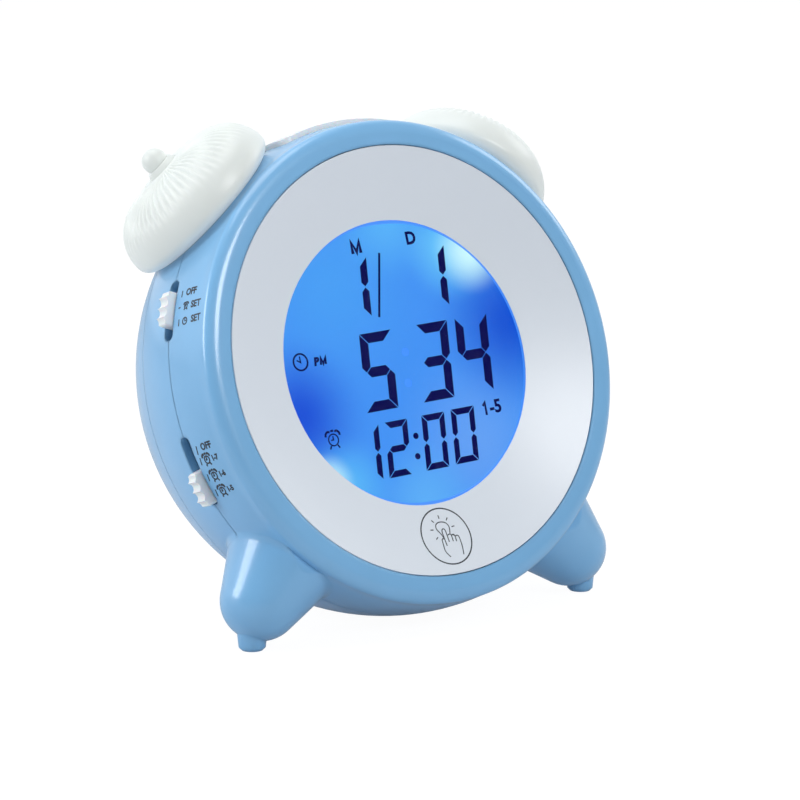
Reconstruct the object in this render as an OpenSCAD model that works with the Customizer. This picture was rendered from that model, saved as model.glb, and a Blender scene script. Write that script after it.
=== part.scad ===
// Twin-bell alarm clock with night light, leaning back on two egg-shaped legs and a rear foot.
// Millimetres. World: +Z up, face toward -Y, origin on the ground under the middle of the clock.
// Head frame (see in_head): x right, y up the face, z out of the face; "depth" is -z.

/* [Stance] */
// How far the face leans back
lean = 17.5; // [12:0.5:22]
// Height of the middle of the face above the ground
face_height = 60; // [59.8:0.1:62]
// Clearance between the flattened belly and the ground
belly_gap = 0.3; // [0.2:0.05:0.6]
// How far the middle of the face sits in front of the origin
face_forward = 26.6; // [20:0.1:35]
// Half the distance between the two front feet
foot_spread = 46.1; // [43:0.1:48]
// How far the front feet stand in front of the middle of the face
foot_forward = 0.9; // [-2:0.1:3]
// Radius of a front foot
foot_r = 3; // [2.8:0.1:3.6]
// How far the rear foot stands behind the middle of the face
rear_foot_back = 47; // [42:0.5:50]
// Radius of the rear foot at the ground
rear_foot_r = 3.6; // [3:0.1:5]

/* [Barrel] */
// Widest radius of the barrel
barrel_r = 56.3; // [55.5:0.1:58]
// Depth of the widest place
widest_depth = 15; // [14.5:0.1:16]
// Depth at which the two shells part, behind the legs
part_depth = 30; // [29.5:0.1:31]
// Depth of the flat back
back_depth = 63; // [61:0.5:66]
// Rounding of the edge of the flat back
back_edge_r = 5; // [3:0.5:8]
// Wall of the shells
wall = 2.2; // [1.8:0.1:2.6]
// Radius of the lip around the face
lip_r = 54.5; // [54:0.1:54.8]
// Rounding of the lip
lip_round = 2.6; // [1.5:0.1:3.2]
// Depth at which the barrel starts behind the lip
rim_depth = 3.4; // [3:0.1:4.5]
// Depth of the fine groove around the widest place
seam_depth = 0.25; // [0.1:0.05:0.4]
// Width of that groove
seam_w = 0.2; // [0.1:0.05:0.4]

/* [Legs] */
// Direction of a leg, from straight up
leg_angle = 137.6; // [134:0.2:141]
// Rounding of the leg's tip
leg_tip_r = 9; // [8:0.1:10]
// Distance of the tip's centre outside the barrel
leg_tip_rise = 7.7; // [7:0.1:8.4]
// Radius of the leg at its root
leg_root_r = 11.1; // [10.2:0.1:12]
// Distance of the leg's root outside the barrel
leg_root_rise = 0.7; // [0:0.1:1.5]
// Fillet between leg and barrel
leg_fillet = 3; // [1:0.5:4]

/* [Face] */
// Radius of the dished face
face_r = 49; // [48:0.1:49.6]
// Gap between the face and the lip
face_gap = 0.15; // [0.1:0.05:0.3]
// How deep the dish is at the edge of the window
dish_drop = 4.8; // [4.2:0.1:5]
// Depth of the edge of the dish
dish_edge_depth = 0.2; // [0:0.05:0.5]
// Thickness of the dish
dish_t = 2; // [1.6:0.1:2.4]
// Rounding of the edge of the dish
dish_edge_r = 0.3; // [0.2:0.1:0.8]
// Radius of the round display window
window_r = 31.9; // [30:0.1:32]
// How much further the display window reaches to each side
window_wide = 1.1; // [0.4:0.1:1.4]
// Depth of the shelf that the dish rests on
shelf_depth = 6.2; // [5.8:0.1:6.6]
// Thickness of that shelf
shelf_t = 2; // [1.6:0.1:2.4]
// Inner radius of that shelf
shelf_r = 46.8; // [46.4:0.1:47.2]

/* [Display] */
// Depth of the front of the clear window
lens_depth = 5.8; // [5.6:0.1:6]
// Thickness of the clear window
lens_t = 1.2; // [1:0.1:1.3]
// How far the clear window overlaps the dish
lens_overlap = 2; // [1.5:0.1:2.1]
// Side of the square display glass
glass_w = 65; // [64.4:0.1:65.2]
// Thickness of the display glass
glass_t = 2.8; // [2:0.1:3]
// Thickness of the light guide
guide_t = 3; // [2:0.1:3.2]
// Wall of the display frame
frame_wall = 1.2; // [1:0.1:1.3]
// Width of a contact strip
strip_w = 1.6; // [1.2:0.1:1.8]
// Length of a contact strip
strip_l = 50; // [40:1:54]

/* [Main board] */
// Thickness of the main board
board_t = 1.6; // [1.2:0.1:1.8]
// Depth of the front of the main board
board_depth = 14; // [13.6:0.1:14.4]

/* [Touch key] */
// How far below the middle of the face the touch key sits
touch_drop = 40.4; // [40.2:0.1:40.6]
// Radius of the touch pad
touch_r = 5.2; // [4.6:0.1:5.3]
// Thickness of the touch pad
touch_t = 0.3; // [0.2:0.05:0.5]

/* [Bells] */
// Direction of a bell, from straight up
bell_angle = 40.3; // [38:0.2:42]
// How far a bell leans back
bell_tilt = 7; // [5:0.5:9]
// How far a bell's rim stands outside the barrel
bell_rise = 0.6; // [0.3:0.1:1.2]
// Radius of a bell
bell_r = 20.35; // [19:0.05:21]
// Height of a bell's dome over its rim
bell_h = 11.4; // [11:0.1:13]
// Rounding of a bell's shoulder
bell_shoulder_r = 10.5; // [8:0.1:10.8]
// Depth of a bell's base under its rim
bell_base_h = 3.2; // [3:0.1:3.6]
// Wall of a bell
bell_wall = 1.6; // [1.2:0.1:1.8]
// Radius of a bell's neck
bell_neck_r = 6; // [5:0.1:7]
// Radius of the ball on a bell
ball_r = 2.9; // [2.4:0.1:3.2]
// Height of the ball's centre over the rim
ball_h = 13.7; // [13.4:0.1:15]
// Radius of the collar under the ball
collar_r = 4; // [3.6:0.1:4.6]

/* [Snooze bar] */
// Half the angle that the snooze bar covers
snooze_half_angle = 20.5; // [16:0.5:21]
// Depth of the front edge of the snooze bar
snooze_front = 9; // [9:0.5:11]
// Size of the snooze bar from front to back
snooze_w = 14; // [10:0.5:15]
// How far the snooze bar stands proud
snooze_proud = 1.1; // [0.8:0.1:1.6]
// How far the snooze bar can be pressed
snooze_travel = 0.8; // [0.5:0.1:0.9]

/* [Side slides] */
// Direction of the time slide, from straight up
time_angle = 70.7; // [69:0.1:72]
// Direction of the alarm slide, from straight up
alarm_angle = 108; // [106:0.1:109]
// Spacing of the positions of a slide
slide_step = 2.5; // [2:0.1:2.5]
// Length of a slide knob
knob_l = 8; // [7.4:0.1:8.6]
// Width of a slide knob
knob_w = 3; // [2.6:0.1:3.2]
// How far a slide knob stands proud
knob_proud = 2.5; // [2.2:0.1:3]
// Spacing of the ridges on a slide knob
knob_pitch = 2.3; // [2.1:0.05:2.4]
// Radius of the scallops between the ridges
knob_scallop_r = 1.25; // [1.22:0.01:1.4]

/* [Rear buttons] */
// Distance of the set buttons from the middle, across
button_x = 30; // [29.5:0.1:30.5]
// Height of the upper set button
button_top_y = 24; // [23.5:0.1:24.5]
// Height of the lower set button
button_low_y = 10; // [9.5:0.1:10.5]
// Radius of a set button
button_r = 3.4; // [3:0.1:3.6]
// How far a set button stands proud
button_proud = 1; // [0.6:0.1:1.4]
// How far a set button can be pressed
button_travel = 0.6; // [0.4:0.1:0.6]

/* [Speaker] */
// Radius of the speaker
speaker_r = 14; // [13:0.1:14.2]
// Height of the speaker over the middle
speaker_y = 21; // [20:0.5:21.5]
// Radius of a hole of the speaker grille
grille_hole_r = 0.8; // [0.6:0.1:1]
// Spacing of the rings of grille holes
grille_pitch = 3.2; // [3:0.1:3.6]

/* [Batteries] */
// Radius of a battery
cell_r = 5.25; // [5:0.05:5.25]
// Length of a battery
cell_l = 44.5; // [43.5:0.1:44.6]
// Spacing of the batteries
cell_pitch = 11; // [10.8:0.1:11.2]
// Height of the middle battery under the middle
cell_drop = 14; // [13.5:0.1:14.5]
// Depth of the batteries' axes
cell_depth = 46.5; // [46:0.1:46.7]
// Width of the battery door
door_w = 52; // [51:0.5:54]
// Height of the battery door
door_h = 36; // [35.5:0.1:37]
// Thickness of the battery door
door_t = 2; // [1.6:0.1:2.1]

/* [Screws] */
// Distance of the housing screws inside the barrel's widest radius
case_screw_inset = 10.3; // [10.1:0.1:10.5]
// Direction of the housing screws, from straight up or down
case_screw_angle = 24; // [23.5:0.5:25]
// Radius of a housing screw's shank
case_screw_r = 1.4; // [1.2:0.1:1.5]
// Radius of a small screw's shank
small_screw_r = 1; // [0.8:0.1:1.1]

/* [Fits] */
// Clearance around a piece that moves in a slot or hole
slide_gap = 0.25; // [0.2:0.05:0.3]
// Clearance around a piece that is fixed in a seat
seat_gap = 0.1; // [0.05:0.05:0.15]
// Clearance of a screw's core in its hole
thread_gap = 0.05; // [0.02:0.01:0.08]

/* [Hidden] */

$fn = 64;
BODY_BLUE = [0.60, 0.77, 0.91];
MILKY = [0.95, 0.95, 0.93];
FACE_GREY = [0.86, 0.89, 0.93];
STEEL = [0.75, 0.76, 0.78];
BOARD_GREEN = [0.10, 0.42, 0.24];
FAR = 200;
EPS = 0.01;

leg_fillet_sink = 0.05;
leg_tip_reach = barrel_r + leg_tip_rise;
leg_root_reach = barrel_r + leg_root_rise;
leg_inner = barrel_r - 12.3;
leg_slope = asin((leg_root_r - leg_tip_r) / (leg_tip_reach - leg_root_reach));
leg_line = leg_tip_r + leg_tip_reach * sin(leg_slope);
bore_r = face_r + face_gap;
shelf_back = shelf_depth + shelf_t;
dish_curve_r = (pow(face_r, 2) - pow(window_r, 2)) / (2 * dish_drop);
dish_curve_z = sqrt(pow(dish_curve_r, 2) - pow(face_r, 2)) - dish_edge_depth;
dish_inner_r = face_r - dish_t;
lens_r = window_r + window_wide + lens_overlap;
lens_seat_r = lens_r + seat_gap;
lens_back = lens_depth + lens_t;
glass_back = lens_back + seat_gap + glass_t;
guide_back = glass_back + seat_gap + guide_t;
frame_half = glass_w / 2 + seat_gap + frame_wall;
frame_corner_r = shelf_r - 0.4;
guide_half_x = glass_w / 2 - 1.9;
guide_half_y = glass_w / 2 - strip_w - 1.9;
strip_y = glass_w / 2 - strip_w / 2 - 0.2;
case_boss_r = 4.4;
case_screw_reach = barrel_r - case_screw_inset;
board_r = case_screw_reach - case_boss_r - 0.6;
board_back = board_depth + board_t;
bell_reach = barrel_r + bell_rise;
bell_seat = bell_reach - bell_base_h;
seat_plate_r = bell_r - 6.4;
seat_plate_t = 2.4;
bell_flange_t = 1.4;
bell_crown_r = (pow(bell_h, 2) - pow(bell_shoulder_r, 2) + pow(bell_r - bell_shoulder_r, 2))
    / (2 * (bell_h - bell_shoulder_r));
bell_floor = bell_wall - bell_base_h;
lamp_board_t = 1.2;
snooze_half_x = (barrel_r + snooze_proud) * sin(snooze_half_angle);
snooze_corner_r = 2.5;
snooze_skirt = 1.6;
snooze_flange = 1.1;
snooze_rib_y = barrel_r - wall - 4.1;
snooze_rib_r = 2.4;
snooze_board_w = 11;
snooze_screw_depth = widest_depth + 2;
small_board_t = 1.2;
tact_w = 6;
tact_h = 3.5;
tact_plunger_r = 1.7;
tact_plunger_h = 0.9;
snooze_board_y = snooze_rib_y - snooze_travel - seat_gap - tact_plunger_h - tact_h - small_board_t;
bracket_x = 11;
bracket_w = 3;
bracket_t = 2;
bracket_back = widest_depth + snooze_board_w / 2 - 0.5;
slot_end_gap = 0.4;
time_slot_l = knob_l + 2 * slide_step + 2 * slot_end_gap;
alarm_slot_l = knob_l + 3 * slide_step + 2 * slot_end_gap;
alarm_rest = -1.5 * slide_step;
slot_w = knob_w + 2 * slide_gap;
slot_corner_r = slot_w / 2 - 0.35;
knob_corner_r = 0.7;
knob_end_drop = 0.6;
carriage_w = knob_w + 2.6;
carriage_t = 1.2;
carriage_top = sqrt(pow(barrel_r - wall, 2) - pow(alarm_slot_l / 2 + 1, 2)) - slide_gap;
switch_w = 4.4;
switch_l = 8.6;
switch_h = 3.4;
switch_top = carriage_top - carriage_t - slide_gap;
switch_floor = switch_top - switch_h;
switch_post_x = 11;
switch_post_back = 4.6;
post_r = 2;
button_flange_depth = 45;
button_flange_t = 1.2;
button_flange_r = button_r + 1.2;
button_board_back = button_flange_depth - button_flange_t - button_travel - seat_gap
    - tact_plunger_h - tact_h;
button_post_y = (button_top_y + button_low_y) / 2;
button_post_dx = 5;
speaker_front = 53;
speaker_t = 3.6;
magnet_r = speaker_r / 2;
magnet_t = 4;
bay_half_x = cell_l / 2 + 3.4;
bay_half_y = cell_pitch + cell_r + 0.6;
bay_floor = cell_depth - cell_r - 0.4;
bay_wall = 1.6;
door_corner_r = 4;
case_boss_top = shelf_depth + shelf_t / 2;
case_head_r = 2.8;
case_head_h = 2;
case_seat = part_depth + 5;
case_screw_l = 14;
face_boss_x = 40.5;
face_boss_y = 20;
face_boss_r = 2.6;
board_boss_x = 37;
board_boss_y = 9;
board_boss_r = 2.4;
small_head_r = 1.9;
small_head_h = 1.3;
touch_boss_depth = shelf_depth;
touch_spring_drop = touch_drop - 2.4;
touch_spring_r = 2;

// Depth of the dished face at a distance from its middle
function dish_depth(r) = sqrt(pow(dish_curve_r, 2) - pow(r, 2)) - dish_curve_z;

// ---------- frames ----------

module in_head() translate([0, -face_forward, face_height]) rotate([90 - lean, 0, 0]) children();

// A direction out of the middle of the barrel: z outward, y to the back, x along the barrel
module radial(angle, tilt = 0)
    translate([0, 0, -widest_depth]) rotate([0, 0, -angle]) rotate([-90 - tilt, 0, 0]) children();

module both_sides() {
    children();
    mirror([1, 0, 0]) children();
}

module four_corners(x, y) {
    for (sx = [-1, 1], sy = [-1, 1])
        translate([sx * x, sy * y, 0]) children();
}

// A disc or ring whose front is at a depth
module disc_at(depth, thick, r) translate([0, 0, -depth - thick]) cylinder(r = r, h = thick);

module slab_at(depth, thick, w, h)
    translate([-w / 2, -h / 2, -depth - thick]) cube([w, h, thick]);

module rounded_rect(w, h, r) {
    square([w - 2 * r, h], center = true);
    square([w, h - 2 * r], center = true);
    for (sx = [-1, 1], sy = [-1, 1])
        translate([sx * (w / 2 - r), sy * (h / 2 - r)]) circle(r = r);
}

// ---------- forms of the housing ----------

// Half section of the barrel, x = radius and y = -depth, moved inward by skin
module barrel_section(skin, from = 0) {
    side = barrel_r - skin;
    edge = max(back_edge_r - skin, 0.5);
    flat = back_depth - skin;
    reach = flat - edge - widest_depth;
    edge_x = sqrt(pow(side - edge, 2) - pow(reach, 2));
    tangent = widest_depth + reach * side / (side - edge);
    intersection() {
        translate([0, -widest_depth]) circle(r = side);
        translate([0, -tangent]) square([FAR, tangent - from]);
    }
    translate([edge_x, edge - flat]) circle(r = edge);
    translate([0, -flat]) square([edge_x, edge]);
}

module barrel_solid(skin, from = 0) rotate_extrude() barrel_section(skin, from);

// Half section of the lip that frames the face
module lip_section() {
    top = dish_edge_depth;
    translate([bore_r, -rim_depth - 1]) square([lip_r - lip_round - bore_r, rim_depth + 1 - top]);
    translate([lip_r - lip_round, -top - lip_round]) circle(r = lip_round);
    translate([bore_r, -rim_depth - 1]) square([lip_r - bore_r, rim_depth + 1 - top - lip_round]);
}

// Egg-shaped leg about its own axis, y = distance from the middle of the barrel
module leg_section() {
    flare = (leg_line - leg_inner * sin(leg_slope)) / cos(leg_slope);
    shoulder = leg_tip_reach + leg_tip_r * sin(leg_slope);
    intersection() {
        union() {
            translate([0, leg_tip_reach]) circle(r = leg_tip_r);
            polygon([
                [0, leg_inner],
                [flare, leg_inner],
                [leg_tip_r * cos(leg_slope), shoulder],
                [0, shoulder]
            ]);
        }
        translate([0, leg_inner]) square([FAR, FAR]);
    }
}

// Fillet that blends the leg into the barrel
module leg_fillet_section() {
    ground = barrel_r - 0.12;
    offset_r = leg_fillet - leg_fillet_sink;
    bearing = leg_slope + acos((leg_line + offset_r) / (ground + offset_r));
    cx = (ground + offset_r) * cos(bearing);
    cy = (ground + offset_r) * sin(bearing);
    difference() {
        polygon([
            [0, leg_inner],
            [(ground - 2) * cos(bearing), (ground - 2) * sin(bearing)],
            [cx, cy],
            [cx - (leg_fillet + 1) * cos(leg_slope), cy - (leg_fillet + 1) * sin(leg_slope)],
            [0, cy]
        ]);
        translate([cx, cy]) circle(r = leg_fillet);
    }
}

module legs() {
    both_sides() intersection() {
        radial(leg_angle) rotate_extrude() {
            leg_section();
            leg_fillet_section();
        }
        disc_at(rim_depth + 0.1, 40, FAR);
    }
}

module leg_bores() {
    both_sides() radial(leg_angle) translate([0, 0, leg_inner])
        cylinder(r = leg_tip_r - wall, h = leg_tip_reach - 1 - leg_inner);
}

// Feet stand upright in the world, so they are turned back out of the head frame
module upright() rotate([lean - 90, 0, 0]) translate([0, 0, -face_height]) children();

module front_feet() {
    both_sides() upright() translate([foot_spread, -foot_forward, 0]) {
        translate([0, 0, 0.6]) cylinder(r1 = foot_r, r2 = foot_r + 0.9, h = 9);
        cylinder(r1 = foot_r - 0.6, r2 = foot_r, h = 0.6 + EPS);
    }
}

module rear_foot() {
    upright() translate([0, rear_foot_back, 0]) {
        translate([0, 0, 0.6]) cylinder(r1 = rear_foot_r, r2 = rear_foot_r + 2, h = 14);
        cylinder(r1 = rear_foot_r - 0.6, r2 = rear_foot_r, h = 0.6 + EPS);
    }
}

module housing_outside() {
    difference() {
        barrel_solid(0, rim_depth);
        upright() translate([-FAR / 2, -FAR / 2, belly_gap - FAR]) cube(FAR);
    }
    rotate_extrude() lip_section();
    legs();
    front_feet();
    rear_foot();
}

module housing_inside() {
    barrel_solid(wall, shelf_back);
    leg_bores();
    disc_at(-1, shelf_depth + 1, bore_r);
    disc_at(-1, shelf_back + 2, shelf_r);
}

module bell_cut() radial_bells() bell_outline(seat_gap);

module radial_bells() both_sides() radial(bell_angle, bell_tilt) children();

// Flat plates that carry the bells, and the hole for each neck
module bell_seats() {
    radial_bells() translate([0, 0, bell_seat - seat_plate_t - seat_gap])
        cylinder(r = seat_plate_r, h = seat_plate_t);
}

module bell_neck_holes() {
    radial_bells() translate([0, 0, bell_seat - seat_plate_t - 4])
        cylinder(r = bell_neck_r + seat_gap, h = seat_plate_t + 5);
}

module side_slot(angle, length) {
    radial(-angle) translate([0, 0, barrel_r - wall - 3])
        linear_extrude(wall + 6) rounded_rect(length, slot_w, slot_corner_r);
}

module snooze_prism(grow) {
    translate([0, 30, -snooze_front - snooze_w / 2]) rotate([-90, 0, 0]) linear_extrude(40)
        rounded_rect(2 * snooze_half_x + 2 * grow, snooze_w + 2 * grow, snooze_corner_r + grow);
}

module door_prism(grow) {
    translate([0, -cell_drop, -FAR]) linear_extrude(FAR - bay_floor)
        rounded_rect(door_w + 2 * grow, door_h + 2 * grow, door_corner_r + grow);
}

module seam_groove() {
    rotate_extrude() translate([barrel_r - seam_depth, -widest_depth - seam_w / 2])
        square([seam_depth + 0.4, seam_w]);
}

module shell_blank() {
    difference() {
        union() {
            difference() {
                housing_outside();
                housing_inside();
            }
            bell_seats();
        }
        bell_cut();
        bell_neck_holes();
        snooze_prism(slide_gap);
        side_slot(time_angle, time_slot_l);
        side_slot(alarm_angle, alarm_slot_l);
    }
}

module case_screw_places() {
    for (side = [-1, 1], turn = [0, 180])
        rotate([0, 0, turn + side * case_screw_angle]) translate([0, case_screw_reach, 0]) children();
}

// ---------- shells ----------

module snooze_brackets() {
    difference() {
        union() {
            both_sides()
                translate([bracket_x - bracket_w / 2, snooze_board_y - bracket_t, -bracket_back])
                cube([bracket_w, bracket_t, bracket_back - shelf_depth]);
            translate([-bracket_x, snooze_board_y - bracket_t, -shelf_back])
                cube([2 * bracket_x, bore_r - snooze_board_y - 0.6, shelf_t]);
        }
        both_sides() translate([bracket_x, snooze_board_y + 1, -snooze_screw_depth])
            rotate([90, 0, 0]) cylinder(r = small_screw_r + thread_gap, h = bracket_t + 2);
    }
}

module switch_posts(radius, from, length) {
    for (angle = [time_angle, alarm_angle], side = [-1, 1])
        radial(-angle) translate([side * switch_post_x, switch_post_back, switch_floor + from])
            cylinder(r = radius, h = length);
}

module front_shell() {
    color(BODY_BLUE) in_head() difference() {
        union() {
            intersection() {
                shell_blank();
                translate([-FAR / 2, -FAR / 2, -part_depth]) cube([FAR, FAR, FAR]);
            }
            case_screw_places() disc_at(case_boss_top, part_depth - case_boss_top, case_boss_r);
            four_corners(face_boss_x, face_boss_y) disc_at(shelf_depth, shelf_t, face_boss_r + 0.8);
            snooze_brackets();
            intersection() {
                switch_posts(post_r, 0, 9);
                barrel_solid(wall / 2, rim_depth);
            }
        }
        case_screw_places()
            disc_at(case_seat - case_screw_l - 1, case_screw_l, case_screw_r + thread_gap);
        four_corners(face_boss_x, face_boss_y)
            disc_at(shelf_depth - 1, shelf_t + 2, small_screw_r + 0.2);
        switch_posts(small_screw_r + thread_gap, -1, 5);
        seam_groove();
    }
}

module speaker_ring() {
    intersection() {
        translate([0, speaker_y, 0]) difference() {
            disc_at(speaker_front - speaker_t - 1, 20, speaker_r + 1.4);
            disc_at(speaker_front - speaker_t - 2, speaker_t + 2, speaker_r + seat_gap);
            disc_at(speaker_front - 1, 30, speaker_r - 1.5);
        }
        barrel_solid(wall / 2, shelf_back);
    }
}

module grille_holes() {
    for (ring = [0:3], i = [0:max(ring * 6 - 1, 0)])
        translate([0, speaker_y, 0]) rotate([0, 0, i * 60 / max(ring, 1)])
            translate([ring * grille_pitch, 0, 0]) disc_at(speaker_front, 20, grille_hole_r);
}

module battery_bay() {
    intersection() {
        translate([0, -cell_drop, 0]) difference() {
            slab_at(bay_floor - bay_wall, 30,
                2 * (bay_half_x + bay_wall), 2 * (bay_half_y + bay_wall));
            slab_at(bay_floor, 30, 2 * bay_half_x, 2 * bay_half_y);
        }
        barrel_solid(wall / 2, shelf_back);
    }
}

module rear_posts() {
    intersection() {
        union() {
            case_screw_places() disc_at(part_depth, 40, case_boss_r);
            for (side = [-1, 1])
                translate([button_x + side * button_post_dx, button_post_y, 0])
                    disc_at(button_board_back, 20, post_r);
        }
        barrel_solid(wall / 2, part_depth);
    }
}

module rear_shell() {
    color(BODY_BLUE) in_head() difference() {
        union() {
            intersection() {
                difference() {
                    housing_outside();
                    housing_inside();
                    bell_cut();
                    door_prism(-1.2);
                }
                translate([-FAR / 2, -FAR / 2, -part_depth - FAR]) cube([FAR, FAR, FAR]);
            }
            speaker_ring();
            battery_bay();
            rear_posts();
        }
        difference() {
            door_prism(slide_gap);
            barrel_solid(door_t + seat_gap, 0);
        }
        grille_holes();
        case_screw_places() {
            disc_at(case_seat, FAR, case_head_r + 0.4);
            disc_at(0, FAR, case_screw_r + 0.3);
        }
        for (y = [button_top_y, button_low_y])
            translate([button_x, y, 0]) disc_at(button_flange_depth, FAR, button_r + slide_gap);
        for (side = [-1, 1])
            translate([button_x + side * button_post_dx, button_post_y, 0])
                disc_at(0, button_board_back + 5, small_screw_r + thread_gap);
    }
}

// ---------- face and display ----------

// Half section of the dished face: full block, hollowed behind the curve
module dish_section() {
    difference() {
        union() {
            translate([window_r, -shelf_depth])
                square([face_r - window_r - dish_edge_r, shelf_depth - dish_edge_depth]);
            translate([window_r, -shelf_depth])
                square([face_r - window_r, shelf_depth - dish_edge_depth - dish_edge_r]);
            translate([face_r - dish_edge_r, -dish_edge_depth - dish_edge_r]) circle(r = dish_edge_r);
        }
        translate([0, dish_curve_z]) circle(r = dish_curve_r, $fn = 360);
        difference() {
            square([2 * dish_inner_r, 2 * shelf_depth + 4], center = true);
            translate([0, dish_curve_z]) circle(r = dish_curve_r + dish_t, $fn = 360);
        }
    }
}

// A boss on the back of the dish, starting just behind its surface
module dish_boss(x, y, r, end) {
    start = dish_depth(norm([x, y]) - r) + 0.3;
    translate([x, y, 0]) disc_at(start, end - start, r);
}

module window_opening() {
    for (side = [-1, 1])
        translate([side * window_wide, 0, -lens_depth - 1]) cylinder(r = window_r, h = lens_depth + 2);
}

module face_dish() {
    color(FACE_GREY) in_head() difference() {
        union() {
            rotate_extrude() dish_section();
            for (sx = [-1, 1], sy = [-1, 1]) {
                dish_boss(sx * face_boss_x, sy * face_boss_y, face_boss_r, shelf_depth);
                dish_boss(sx * board_boss_x, sy * board_boss_y, board_boss_r, board_depth);
            }
            dish_boss(0, -touch_drop, touch_r, touch_boss_depth);
        }
        window_opening();
        four_corners(face_boss_x, face_boss_y) disc_at(shelf_depth - 3, 4, small_screw_r + thread_gap);
        four_corners(board_boss_x, board_boss_y) disc_at(board_depth - 6, 7, small_screw_r + thread_gap);
        translate([0, 0, -lens_depth - 10]) cylinder(r = lens_seat_r, h = 10);
    }
}

module display_window() {
    color([0.85, 0.93, 1, 0.4]) in_head() disc_at(lens_depth, lens_t, lens_r);
}

module display_glass() {
    color([0.25, 0.50, 0.92]) in_head() slab_at(lens_back, glass_t, glass_w, glass_w);
}

module display_frame() {
    color("white") in_head() difference() {
        intersection() {
            slab_at(lens_back, board_depth - lens_back, 2 * frame_half, 2 * frame_half);
            disc_at(lens_back - 1, board_depth - lens_back + 2, frame_corner_r);
        }
        slab_at(lens_back - 1, glass_back - lens_back + 1,
            glass_w + 2 * seat_gap, glass_w + 2 * seat_gap);
        slab_at(glass_back - 1, guide_back - glass_back + 1, 2 * guide_half_x + 2 * seat_gap,
            2 * guide_half_y + 2 * seat_gap);
        slab_at(glass_back, 20, 2 * guide_half_x - 4, 2 * guide_half_y - 4);
        for (side = [-1, 1])
            translate([0, side * strip_y, 0])
                slab_at(glass_back - 1, 20, strip_l + 2 * seat_gap, strip_w + 2 * seat_gap);
    }
}

module light_guide() {
    color([0.95, 0.97, 1, 0.6]) in_head()
        slab_at(glass_back + seat_gap, guide_t, 2 * guide_half_x, 2 * guide_half_y);
}

module contact_strips() {
    color([0.85, 0.55, 0.65]) in_head() for (side = [-1, 1])
        translate([0, side * strip_y, 0])
            slab_at(glass_back, board_depth - glass_back, strip_l, strip_w);
}

// ---------- main board ----------

module main_board() {
    color(BOARD_GREEN) in_head() difference() {
        disc_at(board_depth, board_t, board_r);
        four_corners(board_boss_x, board_boss_y) disc_at(0, 30, small_screw_r + 0.2);
    }
}

module board_parts() {
    in_head() {
        color([0.08, 0.08, 0.09]) intersection() {
            disc_at(board_back, 2.2, 7);
            translate([0, 0, 10 - board_back]) sphere(r = 12.2);
        }
        color("white") for (x = [-24, -12, 14, 26])
            translate([x, -22, 0]) slab_at(board_back, 5, 8, 5);
        color([0.15, 0.15, 0.2]) for (x = [-20, 20])
            translate([x, 20, 0]) disc_at(board_back, 7, 3);
        color(STEEL) translate([0, 18, 0]) slab_at(board_back, 3.4, 11, 4.6);
    }
}

module touch_pad() {
    color([0.80, 0.55, 0.30]) in_head()
        translate([0, -touch_drop, 0]) disc_at(touch_boss_depth, touch_t, touch_r);
}

// Helical wire along z, as one swept solid
module coil(r_start, r_end, length, wire_r, turns, steps = 12, sides = 6) {
    count = turns * steps;
    points = [for (i = [0:count], k = [0:sides - 1])
        let (f = i / count, a = 360 * turns * f, r = r_start + (r_end - r_start) * f, t = 360 * k / sides,
             rho = r + wire_r * cos(t))
        [rho * cos(a), rho * sin(a), wire_r + (length - 2 * wire_r) * f + wire_r * sin(t)]];
    walls = [for (i = [0:count - 1], k = [0:sides - 1])
        [i * sides + k, i * sides + (k + 1) % sides, (i + 1) * sides + (k + 1) % sides, (i + 1) * sides + k]];
    polyhedron(points, concat([[for (k = [sides - 1:-1:0]) k]], walls,
        [[for (k = [0:sides - 1]) count * sides + k]]), convexity = 4);
}

module touch_spring() {
    top = touch_boss_depth + touch_t;
    color(STEEL) in_head() translate([0, -touch_spring_drop, -board_depth])
        coil(touch_spring_r, touch_spring_r, board_depth - top, 0.25, 6);
}

// ---------- bells ----------

// Outer half section of a bell, x = radius and y = height over the rim
module bell_upper_section(skin) {
    shoulder = bell_shoulder_r - skin;
    intersection() {
        union() {
            translate([bell_r - bell_shoulder_r, 0]) circle(r = shoulder);
            intersection() {
                translate([0, bell_h - bell_crown_r]) circle(r = bell_crown_r - skin, $fn = 180);
                square([crown_edge_x(skin), FAR]);
            }
        }
        square([FAR, FAR]);
    }
}

function crown_edge_x(skin) =
    (bell_crown_r - skin) * (bell_r - bell_shoulder_r) / (bell_crown_r - bell_shoulder_r);

module bell_lower_section(skin) {
    fall = bell_base_h - skin;
    intersection() {
        union() {
            translate([bell_r - bell_base_h, 0]) circle(r = fall);
            translate([0, -fall]) square([bell_r - bell_base_h, fall]);
        }
        translate([0, -FAR]) square([FAR, FAR]);
    }
}

module bell_outline(grow) {
    translate([0, 0, bell_reach]) rotate_extrude() {
        bell_upper_section(-grow);
        bell_lower_section(-grow);
    }
}

module bell(side) {
    color(MILKY) in_head() radial(side * bell_angle, bell_tilt) translate([0, 0, bell_reach]) difference() {
        rotate_extrude() difference() {
            bell_upper_section(0);
            bell_upper_section(bell_wall);
        }
        translate([0, 0, bell_h - 0.4]) cylinder(r = collar_r + seat_gap, h = 2);
        cylinder(r = 1.5 + seat_gap, h = FAR);
    }
}

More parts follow.
